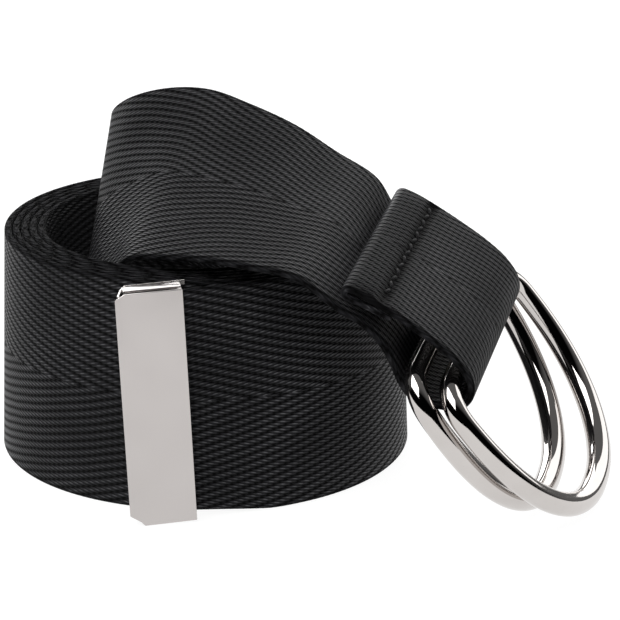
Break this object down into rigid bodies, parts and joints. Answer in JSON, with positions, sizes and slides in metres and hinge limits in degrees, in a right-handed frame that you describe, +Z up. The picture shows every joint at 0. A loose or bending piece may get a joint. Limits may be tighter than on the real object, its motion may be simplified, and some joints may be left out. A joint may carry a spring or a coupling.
{
  "type": "web belt",
  "caption": "Plain woven web belt rolled up on its edge, with a folded metal tip on the outer end and D-rings in a hemmed loop.",
  "frame": {"origin": "middle of the bounding box, on the surface that the roll stands on", "axes": "+X to the right of the picture, towards the D-rings; +Y away from the viewer, who faces the tip; +Z up"},
  "size_m": [0.1014, 0.0842, 0.0588],
  "materials": {
    "webbing": "smooth black woven webbing with a faint sheen",
    "tip_metal": "satin nickel-plated sheet",
    "ring_metal": "polished nickel-plated wire"
  },
  "bodies": {
    "belt": {"webbing_strap": "webbing", "end_tip": "tip_metal"},
    "front_ring": {"d_ring_front": "ring_metal"},
    "back_ring": {"d_ring_back": "ring_metal"}
  },
  "joints": [
    {"name": "front_ring_swing", "type": "hinge", "parent": "belt", "child": "front_ring", "pos_m": [0.02763, -0.01745, 0.02759], "axis": [-0.253, -0.9574, -0.1392], "range_deg": [0, 120]},
    {"name": "back_ring_swing", "type": "hinge", "parent": "belt", "child": "back_ring", "pos_m": [0.02236, -0.01627, 0.02907], "axis": [-0.253, -0.9574, -0.1392], "range_deg": [-32, 0]}
  ]
}
